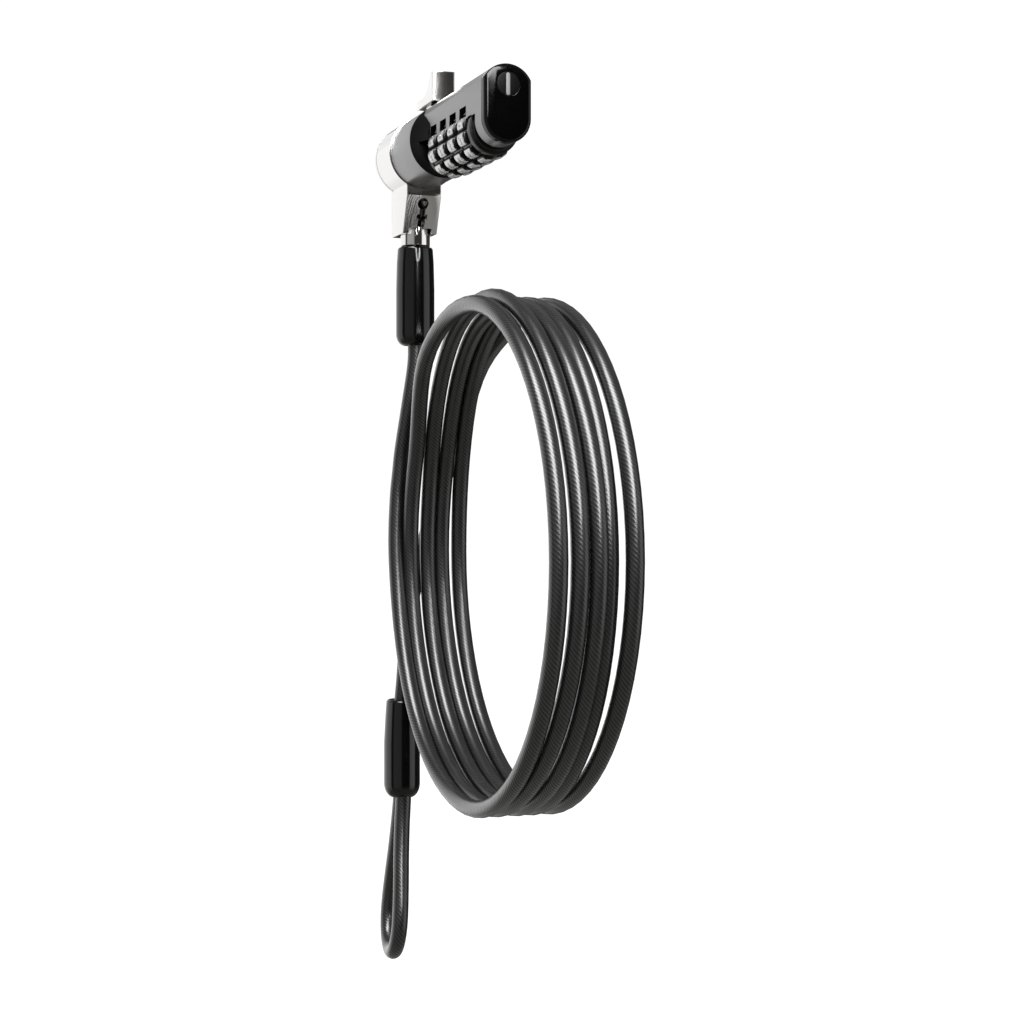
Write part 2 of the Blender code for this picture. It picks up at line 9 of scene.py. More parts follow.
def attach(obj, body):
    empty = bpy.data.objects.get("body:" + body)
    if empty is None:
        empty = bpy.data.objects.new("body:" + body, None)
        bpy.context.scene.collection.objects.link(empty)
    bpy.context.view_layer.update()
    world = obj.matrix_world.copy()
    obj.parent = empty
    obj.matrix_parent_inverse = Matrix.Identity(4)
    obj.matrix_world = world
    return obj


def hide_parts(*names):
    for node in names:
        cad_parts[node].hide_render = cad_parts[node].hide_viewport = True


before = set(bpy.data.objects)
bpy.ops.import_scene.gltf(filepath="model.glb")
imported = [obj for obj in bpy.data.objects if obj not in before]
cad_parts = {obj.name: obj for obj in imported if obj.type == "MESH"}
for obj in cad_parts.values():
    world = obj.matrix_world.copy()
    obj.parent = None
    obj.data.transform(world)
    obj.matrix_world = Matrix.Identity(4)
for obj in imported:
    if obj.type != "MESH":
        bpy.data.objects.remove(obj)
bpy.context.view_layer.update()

# Lengths are in millimetres in the frame of the CAD model; MM turns them into metres.
# The barrel's axis is Y: the laptop's face is at zero and the end cap is at the minus end.
MM = 0.001

CABLE_R = 2.0
COIL_Y = -65.0
COIL_Z = -100.4
COIL_R = 57.2
STUD_Y = -7.2
BALL_Z = -12.6
UPPER_BOOT_END = -47.8
LOWER_BOOT_TOP = -138.5
LOWER_BOOT_END = -163.6
TAIL_X = -2.6
TAIL_Y = -4.0
LOOP_LEAN = math.radians(7.0)
LOOP_DRIFT = 0.07
DRIFT_TOP = -164.0
LOOP_R = 9.2
LOOP_MIDDLE_Z = -193.6
LEG_OFFSET = 2.05
LEG_BEND_Z = -164.1

CAP_FRONT = -79.0
CAP_BACK = -77.0
BODY_FRONT = -76.7
BODY_TOP_R = 6.2
BODY_TOP_Z = 3.2
BODY_HALF_W = 5.6
BODY_BOTTOM_Z = -2.7
BARREL_R = 8.8
BARREL_FRONT = -31.85
RING_FRONT = -15.0
PLATE_FRONT = -2.7
OUTSIDE = 20.0
RESET_Z = 4.75
RESET_R = 2.7
BAY_R = 5.7
BAY_FRONT = -72.3
BAY_BACK = -34.8
BAY_MOUTH_Z = -1.0
TRUNNION_R = 7.2
BORE_R = 4.6
BORE_BACK = -1.7
TEE_SEAT_R = 1.75
SCREW_CIRCLE_R = 5.9
PEG_X = 3.4
PEG_Z = -2.5
TRACK_R = 6.95
DIAL_Z = -3.5
DIAL_CORE_R = 5.3
DIAL_TIP_R = 6.6
DIAL_STATIONS = [-63.4, -55.9, -48.4, -40.9]


# Helpers

def mesh_object(name, bm):
    """Turns a bmesh given in millimetres into an object in metres."""
    bmesh.ops.recalc_face_normals(bm, faces=bm.faces)
    bmesh.ops.scale(bm, vec=(MM, MM, MM), verts=bm.verts)
    mesh = bpy.data.meshes.new(name)
    bm.to_mesh(mesh)
    bm.free()
    obj = bpy.data.objects.new(name, mesh)
    bpy.context.scene.collection.objects.link(obj)
    return obj


def on_axis(axis, across, up, station):
    """Point from its two coordinates across the axis and its station along it."""
    if axis == "X":
        return (station, across, up)
    if axis == "Y":
        return (across, station, up)
    return (across, up, station)


def lathe(name, profile, axis, centre=(0.0, 0.0), steps=96, closed=False, stretch=1.0, turn=0.0):
    """Turned form from (radius, station) points. stretch makes it oval, longer across its turned Y."""
    bm = bmesh.new()
    rings = []
    for radius, station in profile:
        if radius < 1e-6:
            rings.append([bm.verts.new(on_axis(axis, centre[0], centre[1], station))])
            continue
        ring = []
        for i in range(steps):
            angle = 2 * math.pi * i / steps
            across = radius * math.cos(angle)
            up = radius * math.sin(angle) * stretch
            turned_across = centre[0] + across * math.cos(turn) - up * math.sin(turn)
            turned_up = centre[1] + across * math.sin(turn) + up * math.cos(turn)
            ring.append(bm.verts.new(on_axis(axis, turned_across, turned_up, station)))
        rings.append(ring)
    pairs = list(zip(rings, rings[1:]))
    if closed:
        pairs.append((rings[-1], rings[0]))
    for first, second in pairs:
        for i in range(steps):
            j = (i + 1) % steps
            loop = [first[i % len(first)], first[j % len(first)],
                    second[j % len(second)], second[i % len(second)]]
            corners = list(dict.fromkeys(loop))
            if len(corners) > 2:
                bm.faces.new(corners)
    return mesh_object(name, bm)


def prism(name, outline, axis, start, end, soft=0.0, segments=3, ends="both"):
    """Outline carried along an axis; the rims of both ends, or only of its start, are rounded by soft."""
    bm = bmesh.new()
    low = [bm.verts.new(on_axis(axis, a, b, start)) for a, b in outline]
    high = [bm.verts.new(on_axis(axis, a, b, end)) for a, b in outline]
    count = len(outline)
    bm.faces.new(low)
    bm.faces.new(high)
    for i in range(count):
        j = (i + 1) % count
        bm.faces.new((low[i], low[j], high[j], high[i]))
    bmesh.ops.recalc_face_normals(bm, faces=bm.faces)
    if soft > 0:
        rims = {"both": (set(low), set(high)), "start": (set(low),)}[ends]
        edges = [e for e in bm.edges if any(set(e.verts) <= rim for rim in rims)]
        bmesh.ops.bevel(bm, geom=edges, offset=soft, segments=segments, profile=0.5, affect="EDGES",
                        clamp_overlap=True)
    return mesh_object(name, bm)


def block(name, x, y, z):
    """Box between the low and high values of x, y and z."""
    bm = bmesh.new()
    bmesh.ops.create_cube(bm, size=1.0)
    bmesh.ops.scale(bm, vec=(x[1] - x[0], y[1] - y[0], z[1] - z[0]), verts=bm.verts)
    bmesh.ops.translate(bm, vec=(sum(x) / 2, sum(y) / 2, sum(z) / 2), verts=bm.verts)
    return mesh_object(name, bm)


def rod(name, radius, axis, start, end, centre=(0.0, 0.0), steps=96):
    """Closed cylinder along an axis."""
    return lathe(name, [(0, start), (radius, start), (radius, end), (0, end)], axis, centre, steps)


def rounded(points, steps=4):
    """Polyline through (a, b, fillet radius) points with its corners rounded."""
    result = []
    for i, (a, b, fillet) in enumerate(points):
        if fillet <= 0 or i == 0 or i == len(points) - 1:
            result.append((a, b))
            continue
        corner = Vector((a, b))
        before = (Vector(points[i - 1][:2]) - corner).normalized()
        after = (Vector(points[i + 1][:2]) - corner).normalized()
        half = before.angle(after) / 2
        reach = fillet / math.tan(half)
        first, last = corner + before * reach, corner + after * reach
        centre = corner + (before + after).normalized() * (fillet / math.sin(half))
        sweep = math.pi - 2 * half
        for step in range(steps + 1):
            t = step / steps
            direction = (first - centre) * math.sin((1 - t) * sweep) + (last - centre) * math.sin(t * sweep)
            result.append(tuple(centre + direction / math.sin(sweep)))
    return result


def apply_modifiers(obj):
    """Makes the object's evaluated mesh its own."""
    bpy.context.view_layer.update()
    evaluated = obj.evaluated_get(bpy.context.evaluated_depsgraph_get())
    mesh = bpy.data.meshes.new_from_object(evaluated)
    old = obj.data
    obj.modifiers.clear()
    obj.data = mesh
    bpy.data.meshes.remove(old)


def combine(obj, operation, others):
    """Boolean of the object with the others, which are then removed."""
    for other in others:
        modifier = obj.modifiers.new(other.name, "BOOLEAN")
        modifier.operation = operation
        modifier.solver = "EXACT"
        modifier.object = other
    apply_modifiers(obj)
    for other in others:
        mesh = other.data
        bpy.data.objects.remove(other, do_unlink=True)
        bpy.data.meshes.remove(mesh)


def join(obj, *others):
    combine(obj, "UNION", others)


def cut(obj, *others):
    combine(obj, "DIFFERENCE", others)


def piece(obj, body, materials, replaced=(), angle=35.0):
    """Finishes a piece: shading, materials, the body it rides on and the CAD nodes it stands for."""
    obj.data.shade_smooth()
    obj.data.set_sharp_from_angle(angle=math.radians(angle))
    obj.data.materials.clear()
    for material in materials:
        obj.data.materials.append(material)
    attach(obj, body)
    if replaced:
        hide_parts(*replaced)
    return obj


def arc(radius, start, end, steps, centre=(0.0, 0.0)):
    """Points on a circular arc; angles in degrees."""
    angles = [math.radians(start + (end - start) * i / steps) for i in range(steps + 1)]
    return [(centre[0] + radius * math.cos(a), centre[1] + radius * math.sin(a)) for a in angles]


def flat_sided_outline(steps=28):
    """Shallow arc on top, flat sides and a half circle below."""
    edge = math.degrees(math.acos(BODY_HALF_W / BODY_TOP_R))
    top = arc(BODY_TOP_R, edge, 180 - edge, steps, (0, BODY_TOP_Z))
    return top + arc(BODY_HALF_W, 180, 360, steps + 12, (0, BODY_BOTTOM_Z))


# Camera

def make_camera():
    """Long lens, level, from the front left at the coil's height."""
    data = bpy.data.cameras.new("camera")
    data.lens = 70.31
    data.sensor_width = 36
    data.clip_start = 0.01
    camera = bpy.data.objects.new("camera", data)
    camera.location = (-0.1475, -0.4979, -0.0904)
    camera.rotation_euler = (math.radians(90), 0, math.radians(-19.5))
    bpy.context.scene.collection.objects.link(camera)
    bpy.context.scene.camera = camera


make_camera()


# Materials

class Shader:
    """A Principled material with a few helpers for wiring its nodes."""

    def __init__(self, name, **values):
        self.material = bpy.data.materials.new(name)
        self.material.use_nodes = True
        self.tree = self.material.node_tree
        self.principled = self.tree.nodes["Principled BSDF"]
        for socket, value in values.items():
            self.principled.inputs[socket.replace("_", " ")].default_value = value

    def node(self, kind, inputs=None, **settings):
        node = self.tree.nodes.new(kind)
        for key, value in settings.items():
            setattr(node, key, value)
        for key, value in (inputs or {}).items():
            if isinstance(value, bpy.types.NodeSocket):
                self.tree.links.new(value, node.inputs[key])
            else:
                node.inputs[key].default_value = value
        return node

    def math(self, operation, a, b=0.0):
        return self.node("ShaderNodeMath", {0: a, 1: b}, operation=operation).outputs[0]

    def noise(self, scale, detail=3.0):
        place = self.node("ShaderNodeTexCoord").outputs["Object"]
        inputs = {"Vector": place, "Scale": scale, "Detail": detail}
        return self.node("ShaderNodeTexNoise", inputs).outputs["Fac"]

    def spread(self, factor, low, high):
        return self.node("ShaderNodeMapRange", {"Value": factor, "To Min": low, "To Max": high}).outputs[0]

    def blend(self, factor, first, second):
        node = self.node("ShaderNodeMix", data_type="RGBA")
        for index, value in ((0, factor), (6, first), (7, second)):
            if isinstance(value, bpy.types.NodeSocket):
                self.tree.links.new(value, node.inputs[index])
            else:
                node.inputs[index].default_value = value
        return node.outputs[2]

    def colour(self, socket):
        self.tree.links.new(socket, self.principled.inputs["Base Color"])

    def roughness(self, socket):
        self.tree.links.new(socket, self.principled.inputs["Roughness"])

    def bump(self, height, strength, distance, edge=None):
        inputs = {"Height": height, "Strength": strength, "Distance": distance}
        if edge:
            inputs["Normal"] = self.node("ShaderNodeBevel", {"Radius": edge}, samples=6).outputs[0]
        node = self.node("ShaderNodeBump", inputs)
        self.tree.links.new(node.outputs[0], self.principled.inputs["Normal"])


def grey(value, warm=0.0):
    """Grey, or a slightly yellow one where warm is above zero."""
    return (value * (1 + warm), value, value * (1 - warm), 1.0)


def surface(name, light, dark, rough, scale=1500.0, grain=0.1, edge=0.15, warm=0.0, **values):
    """General finish: cloudy shift between two greys, uneven roughness, fine grain and soft edges."""
    shader = Shader(name, **values)
    cloud = shader.noise(scale / 12)
    fine = shader.noise(scale, 6.0)
    shader.colour(shader.blend(cloud, grey(dark, warm), grey(light, warm)))
    shader.roughness(shader.spread(shader.noise(scale / 4), rough[0], rough[1]))
    shader.bump(fine, grain, 0.00002, edge * MM if edge else None)
    return shader.material


HOUSING_GREY = surface("housing_grey", 0.22, 0.20, (0.26, 0.32), 3000, 0.015, 0.2, Metallic=0.75)
CAP_BLACK = surface("cap_black", 0.0016, 0.0010, (0.06, 0.12), 2000, 0.01, 0.1, Specular_IOR_Level=0.28)
SCREW_BLACK = surface("screw_black", 0.0030, 0.0022, (0.3, 0.4), 2000, 0.03, 0.1, Specular_IOR_Level=0.08)
# Painted shade: near black with little shine, for the bay's walls, the windows' edges and the shoulder in
# front of the barrel
BAY_PAINTED_SHADE = surface("bay_painted_shade", 0.003, 0.002, (0.4, 0.5), 5000, 0.2, 0.1, Specular_IOR_Level=0.08)
DIAL_BLACK = surface("dial_black", 0.005, 0.003, (0.25, 0.38), 5000, 0.15, 0.15, Specular_IOR_Level=0.4)
DIAL_GREY = surface("dial_grey", 0.60, 0.48, (0.2, 0.3), 4000, 0.12, None, Metallic=0.6)
DIGIT_GREY = surface("digit_grey", 0.36, 0.30, (0.25, 0.35), 4000, 0.1, None, Metallic=0.6)
# Painted reflection: light grey for the strip in the reset screw's slot, where the slot catches light
SLOT_GLINT_GREY = surface("slot_glint_grey", 0.34, 0.29, (0.4, 0.5), 4000, 0.1, 0.05)
CHROME = surface("chrome", 0.82, 0.76, (0.07, 0.11), 1500, 0.004, 0.25, 0.012, Metallic=1.0)
STEEL = surface("lock_steel", 0.58, 0.50, (0.2, 0.32), 3000, 0.15, 0.12, Metallic=1.0)
INNER_STEEL = surface("inner_steel", 0.45, 0.38, (0.28, 0.4), 3000, 0.2, 0.1, Metallic=1.0)
RUBBER = surface("pad_rubber", 0.028, 0.018, (0.65, 0.85), 6000, 0.5, 0.2)
BOOT_BLACK = surface("boot_black", 0.0020, 0.0012, (0.10, 0.15), 2500, 0.04, None)


def make_brass():
    """Uneven yellow metal of the inner pieces."""
    shader = Shader("inner_brass", Metallic=1.0)
    shader.colour(shader.blend(shader.noise(250.0), (0.48, 0.34, 0.14, 1), (0.66, 0.49, 0.22, 1)))
    shader.roughness(shader.spread(shader.noise(900.0), 0.22, 0.36))
    shader.bump(shader.noise(3000.0, 6.0), 0.15, 0.00002, 0.0001)
    return shader.material


def make_cable():
    """Twisted strands seen through a smoky, glossy jacket. The map runs round it in U and along it in V."""
    strands, spacing = 12, 1.0
    shader = Shader("cable_jacket", Metallic=0.55, Coat_Weight=1.0, Coat_Roughness=0.24, Coat_IOR=1.44)
    uv = shader.node("ShaderNodeUVMap", uv_map="along").outputs[0]
    split = shader.node("ShaderNodeSeparateXYZ", {0: uv})
    around, length = split.outputs[0], split.outputs[1]
    phase = shader.math("ADD", shader.math("MULTIPLY", around, strands),
                        shader.math("DIVIDE", length, spacing))
    wave = shader.math("SINE", shader.math("MULTIPLY", phase, 2 * math.pi))
    height = shader.node("ShaderNodeMapRange", {"Value": wave, "From Min": -1.0}).outputs[0]
    patchy = shader.spread(shader.noise(160.0), 0.2, 1.0)
    dark = shader.blend(patchy, grey(0.002), grey(0.004))
    bright = shader.blend(patchy, grey(0.016), grey(0.042))
    shader.colour(shader.blend(height, dark, bright))
    shader.roughness(shader.spread(height, 0.45, 0.30))
    shader.bump(height, 0.35, 0.00010)
    return shader.material


BRASS = make_brass()
CABLE = make_cable()


# Cable

def smooth(points, steps, before=None, after=None):
    """Points on a Catmull-Rom curve through the given ones; before and after set the end directions."""
    vectors = [Vector(p) for p in points]
    first = Vector(before) if before else 2 * vectors[0] - vectors[1]
    last = Vector(after) if after else 2 * vectors[-1] - vectors[-2]
    padded = [first] + vectors + [last]
    result = []
    for a, b, c, d in zip(padded, padded[1:], padded[2:], padded[3:]):
        for step in range(steps):
            t = step / steps
            result.append(0.5 * (2 * b + (c - a) * t + (2 * a - 5 * b + 4 * c - d) * t ** 2
                                 + (3 * b - a - 3 * c + d) * t ** 3))
    return result + [vectors[-1]]


def coil_place(radius, angle, x):
    """Place on the coil: angle 0 is the far side, growing downwards there."""
    turn = math.radians(angle)
    return Vector((x, COIL_Y + radius * math.cos(turn), COIL_Z - radius * math.sin(turn)))


def between(stations, angle):
    """Value at an angle, eased between the stations, which are (angle, value)."""
    for (low, start), (high, end) in zip(stations, stations[1:]):
        if low <= angle <= high:
            ease = (1 - math.cos(math.pi * (angle - low) / (high - low))) / 2
            return start + (end - start) * ease
    return stations[-1][1]


# The cable's way round the coil: places along the coil's axis, and radii, by the angle travelled in degrees.
# The last turn's end moves out to OVER_R, so that it crosses behind the others to the lower boot.
COIL_START, COIL_END = 25, 1755
OVER_R = 62.3
COIL_X = [(0, -4.9), (180, -4.5), (298, -5.2), (338, -1.5), (450, -0.9), (540, 0.2), (640, -0.9),
          (712, 3.1), (900, 4.3), (1000, 3.7), (1065, 6.8), (1180, 7.4), (1260, 7.5), (1350, 7.3),
          (1440, 11.5), (1620, 12.2), (1760, 11.7)]
COIL_RADIUS = [(0, COIL_R), (560, COIL_R), (622, COIL_R + 1.6), (668, COIL_R), (1180, COIL_R),
               (1260, COIL_R - 2.4), (1340, COIL_R), (1728, COIL_R), (1762, OVER_R)]


def main_route():
    """Down from the upper boot, nearly five turns, then behind the coil and into the lower boot."""
    down = [(0, STUD_Y, -45.1), (0, STUD_Y, -52), (-1.3, -6.6, -62), (-2.8, -5.1, -74), (-3.4, -4.8, -80),
            (-4.1, -4.9, -87), (-4.8, -6.0, -98), (-4.9, -7.9, -109)]
    upper = smooth(down + [coil_place(COIL_R, 20, -4.9)], 4, after=coil_place(COIL_R, 32, -4.9))
    coil = [coil_place(between(COIL_RADIUS, angle), angle, between(COIL_X, angle))
            for angle in range(COIL_START, COIL_END + 1, 5)]
    crossing = [(-40, 11.7), (-28, 10.6), (-16, 8.0), (-4, 4.4), (8, 1.0)]
    low = [coil_place(OVER_R, angle, x) for angle, x in crossing]
    low += [(-0.6, -3.4, -118), (-1.5, -3.8, -126), (-2.1, TAIL_Y, -133.5), (TAIL_X, TAIL_Y, -139.2),
            (TAIL_X, TAIL_Y, -144.1)]
    return upper + coil + smooth(low, 5, before=coil_place(61.2, -52, 11.7))


def loop_route():
    """Down the near leg, round the bottom and up the far leg."""
    near = [(-LEG_OFFSET, -159.9), (-LEG_OFFSET, LEG_BEND_Z), (-2.7, -170.0), (-4.4, -177.0),
            (-6.9, -184.0), (-8.7, -190.0)]
    bottom = arc(LOOP_R, 180, 360, 12, (0, LOOP_MIDDLE_Z))
    far = [(-along, z) for along, z in reversed(near)]
    across = Vector((math.sin(LOOP_LEAN), math.cos(LOOP_LEAN), 0))
    places = []
    for along, z in near + bottom + far:
        drift = LOOP_DRIFT * min(0.0, z - DRIFT_TOP)
        places.append(Vector((TAIL_X + drift, TAIL_Y, z)) + across * along)
    return smooth(places, 3)


def tube(name, points, radius, sides=28):
    """Round tube along the points, mapped round its girth in U and in millimetres along it in V."""
    bm = bmesh.new()
    layer = bm.loops.layers.uv.new("along")
    tangents = [(b - a).normalized() for a, b in zip([points[0]] + points[:-1], points[1:] + [points[-1]])]
    side = tangents[0].orthogonal().normalized()
    rings, lengths, travelled = [], [], 0.0
    for i, (point, tangent) in enumerate(zip(points, tangents)):
        if i:
            travelled += (point - points[i - 1]).length
            side = (side - tangent * side.dot(tangent)).normalized()
        other = tangent.cross(side)
        ring = []
        for k in range(sides):
            angle = 2 * math.pi * k / sides
            ring.append(bm.verts.new(point + (side * math.cos(angle) + other * math.sin(angle)) * radius))
        rings.append(ring)
        lengths.append(travelled)
    for i in range(len(rings) - 1):
        for k in range(sides):
            n = (k + 1) % sides
            face = bm.faces.new((rings[i][k], rings[i][n], rings[i + 1][n], rings[i + 1][k]))
            corners = ((k, i), (k + 1, i), (k + 1, i + 1), (k, i + 1))
            for loop, (around, along) in zip(face.loops, corners):
                loop[layer].uv = (around / sides, lengths[along])
    bm.faces.new(list(reversed(rings[0])))
    bm.faces.new(rings[-1])
    return mesh_object(name, bm)


def path_length(points):
    """Length along the points, in millimetres."""
    return sum((b - a).length for a, b in zip(points, points[1:]))


MAIN = main_route()
LOOP = loop_route()
main_cable = piece(tube("cable", MAIN, CABLE_R), "cable_body", [CABLE],
                   ("cable_upper_tail", "cable_coil", "cable_lower_tail"), 60)
loop_cable = piece(tube("end_loop", LOOP, CABLE_R), "cable_body", [CABLE],
                   ("cable_loop",), 60)


# Fittings on the cable

TIP_STRETCH = 1.45


def boot_profile(top, bottom, shoulder, widest, tip, socket):
    """Moulded boot: rounded shoulder, gentle belly, elliptical tip round the cable's socket."""
    reach = widest - tip
    quarter = [math.radians(9 * step) for step in range(11)]
    tail = [(tip + reach * math.cos(a), bottom + TIP_STRETCH * reach * (1 - math.sin(a))) for a in quarter]
    profile = rounded([(0, top, 0), (shoulder, top, 0.7), (shoulder + 0.28, top - 4.0, 8),
                       (widest, top - 11.0, 0)], 5)
    return profile + tail + rounded([(tip, bottom, 0), (socket, bottom, 0.2), (socket, bottom + 2.6, 0),
                                     (0, bottom + 2.6, 0)])[1:]


upper_boot = lathe("upper_boot_moulding", boot_profile(-22.8, UPPER_BOOT_END, 4.45, 4.9, 2.9, 2.1), "Z",
                   (0, STUD_Y), 72)
piece(upper_boot, "cable_body", [BOOT_BLACK], ("upper_boot",), 50)
lower_boot = lathe("lower_boot_moulding", boot_profile(LOWER_BOOT_TOP, LOWER_BOOT_END, 3.95, 4.6, 2.1, 0.5),
                   "Z", (TAIL_X, TAIL_Y), 72, stretch=1.15, turn=-LOOP_LEAN)
piece(lower_boot, "cable_body", [BOOT_BLACK], ("lower_boot",), 50)

ferrule_profile = rounded([(0.95, -19.0, 0), (0.95, -17.7, 0), (3.75, -17.7, 0.35), (3.75, -22.55, 0.25),
                           (0.95, -22.55, 0), (0.95, -19.0, 0)])[:-1]
ferrule = lathe("ferrule_ring", ferrule_profile, "Z", (0, STUD_Y), 72, closed=True)
piece(ferrule, "cable_body", [CHROME], ("ferrule",))

stud_profile = ([(0.0, -11.5)] + arc(1.1, 78, -64, 16, (0, BALL_Z))
                + rounded([(0.48, -13.6, 0), (0.45, -15.3, 0.1), (1.1, -15.4, 0.12), (1.1, -16.0, 0.12),
                           (0.65, -16.0, 0.05), (0.65, -22.2, 0.1), (0, -22.2, 0)]))
stud = lathe("swivel_stud", stud_profile, "Z", (0, STUD_Y), 48)
piece(stud, "cable_body", [CHROME], ("ball_stud",))

crimp_profile = rounded([(0, -144.4, 0), (3.1, -144.4, 0.4), (3.3, -159.6, 0.4), (0, -159.6, 0)])
crimp = lathe("crimp_sleeve", crimp_profile, "Z", (TAIL_X, TAIL_Y), 48)
piece(crimp, "cable_body", [INNER_STEEL], ("end_crimp",))

print("cable lengths in mm:", round(path_length(MAIN)), round(path_length(LOOP)))


# Head

def build_housing():
    """Flat-sided body with a barrel behind it, opened for the dials, the slide and the pins."""
    shell = prism("head_housing", flat_sided_outline(), "Y", BODY_FRONT, -26.0)
    barrel = rounded([(0, -38.3, 0), (6.3, -38.3, 0), (8.66, -32.02, 0), (BARREL_R, BARREL_FRONT, 0),
                      (BARREL_R, RING_FRONT, 0.15), (TRUNNION_R, RING_FRONT, 0), (TRUNNION_R, PLATE_FRONT, 0),
                      (0, PLATE_FRONT, 0)])
    join(shell, lathe("barrel", barrel, "Y", steps=144))
    bore = [(0, -34.2), (TEE_SEAT_R, -34.2), (TEE_SEAT_R, -33.2), (BORE_R, -33.2), (BORE_R, BORE_BACK),
            (0, BORE_BACK)]
    cutters = [prism("bay", bay_outline(), "Y", BAY_FRONT, BAY_BACK),
               rod("bearing_groove", 6.2, "Y", -69.8, -67.0, (0, DIAL_Z)),
               block("roof_cavity", (-3.2, 3.2), (-71.0, -35.5), (0.9, 7.5)),
               rod("spindle_seat", 1.8, "Y", -74.5, -33.6, (0, DIAL_Z), steps=32),
               rod("reset_hole", 1.6, "Y", -78.0, -70.0, (0, RESET_Z), steps=32),
               lathe("bore", bore, "Y"),
               block("stem_slot", (-1.8, 1.8), (-29.9, -21.7), (3.0, 12.0)),
               block("gate_passage", (0.2, 2.0), (-36.5, -32.5), (3.15, 4.45))]
    for middle in DIAL_STATIONS:
        track, window = (middle - 2.5, middle + 2.5), (middle - 2.35, middle + 2.35)
        cutters.append(rod("block_track", TRACK_R, "Y", *track, (0, DIAL_Z)))
        cutters.append(block("window", (-OUTSIDE, OUTSIDE), window, (-3.0, 2.0)))
    for side in (-1, 1):
        cutters.append(rod("peg_hole", 1.15, "Y", -78.0, -74.0, (side * PEG_X, PEG_Z), steps=24))
    for x, z in arc(SCREW_CIRCLE_R, 30, 270, 2):
        cutters.append(rod("screw_hole", 0.95, "Y", -7.5, BORE_BACK, (x, z), steps=24))
    cut(shell, *cutters)
    piece(shell, "lock_head", [HOUSING_GREY, BAY_PAINTED_SHADE], ("housing",), 30)
    # The housing's faces inside the bay and on the shoulder are painted near black as shade
    blacken_inside(shell)


def bay_outline():
    """Round roof above the dials, then everything below its mouth."""
    half_open = math.degrees(math.asin((BAY_MOUTH_Z - DIAL_Z) / BAY_R))
    return arc(BAY_R, half_open, 180 - half_open, 48, (0, DIAL_Z)) + [
        (-OUTSIDE, BAY_MOUTH_Z), (-OUTSIDE, -OUTSIDE), (OUTSIDE, -OUTSIDE), (OUTSIDE, BAY_MOUTH_Z)]


def blacken_inside(shell):
    """Painted shade: the bay's walls, the windows' edges and the shoulder in front of the barrel get a
    near-black colour where shade falls.
    """
    for face in shell.data.polygons:
        x, y, z = face.center / MM
        if BAY_FRONT - 0.01 < y < BARREL_FRONT - 0.05 and not on_skin(x, z):
            face.material_index = 1


def on_skin(x, z, near=0.05):
    """Whether a place is on the flat-sided body's outside."""
    if abs(abs(x) - BODY_HALF_W) < 0.02 and BODY_BOTTOM_Z - 0.1 < z:
        return True
    if z > BODY_TOP_Z:
        return abs(math.hypot(x, z - BODY_TOP_Z) - BODY_TOP_R) < near
    return z < BODY_BOTTOM_Z and abs(math.hypot(x, z - BODY_BOTTOM_Z) - BODY_HALF_W) < near


def build_end_cap():
    """Black cap with a rounded front rim and an opening for the reset screw."""
    cap = prism("head_end_cap", flat_sided_outline(), "Y", CAP_FRONT, CAP_BACK, soft=0.9, segments=6,
                ends="start")
    cut(cap, rod("opening", 2.78, "Y", CAP_FRONT - 1, CAP_BACK + 1, (0, RESET_Z), steps=64))
    piece(cap, "lock_head", [CAP_BLACK], ("end_cap",), 40)


def build_reset_screw():
    """Headed screw with a slot, and a light grey strip in the slot: a painted reflection of the slot catching
    light.
    """
    profile = rounded([(0, CAP_FRONT, 0), (RESET_R, CAP_FRONT, 0.1), (RESET_R, -77.3, 0.1), (1.3, -77.3, 0),
                       (1.3, -70.6, 0), (1.7, -70.6, 0.1), (1.7, -69.0, 0.1), (0, -69.0, 0)])
    screw = lathe("reset_screw_head", profile, "Y", (0, RESET_Z), 64)
    cut(screw, prism("slot", slot_outline(0.525, 2.6), "Y", CAP_FRONT - 1, -78.4))
    piece(screw, "reset_key", [SCREW_BLACK], ("reset_screw",))
    # Painted reflection: the light grey strip in the slot stands in for the slot catching light
    slot_glint = prism("reset_slot_glint", slot_outline(0.5, 2.58), "Y", -78.85, -78.38, soft=0.06)
    piece(slot_glint, "reset_key", [SLOT_GLINT_GREY])


def slot_outline(half_width, half_length):
    """Upright slot with round ends, about the reset screw's middle."""
    straight = half_length - half_width
    return (arc(half_width, 0, 180, 10, (0, RESET_Z + straight))
            + arc(half_width, 180, 360, 10, (0, RESET_Z - straight)))


# Half of a dial block's outline: (degrees from its middle, radius)
BLOCK_EDGE = [(16.4, 5.0), (16.2, 5.55), (15.2, 6.0), (13.2, 6.25), (10.5, 6.4), (7.0, 6.53), (3.5, 6.59)]
BLOCK_OUTLINE = [(-a, r) for a, r in BLOCK_EDGE] + [(0.0, DIAL_TIP_R)] + list(reversed(BLOCK_EDGE))
BLOCK_HALF_W = 2.2
DIAL_HALF_W = 3.5
DIAL_BORE_R = 3.7
DIGIT_SIZE = 2.9
DIGIT_RELIEF = 0.06


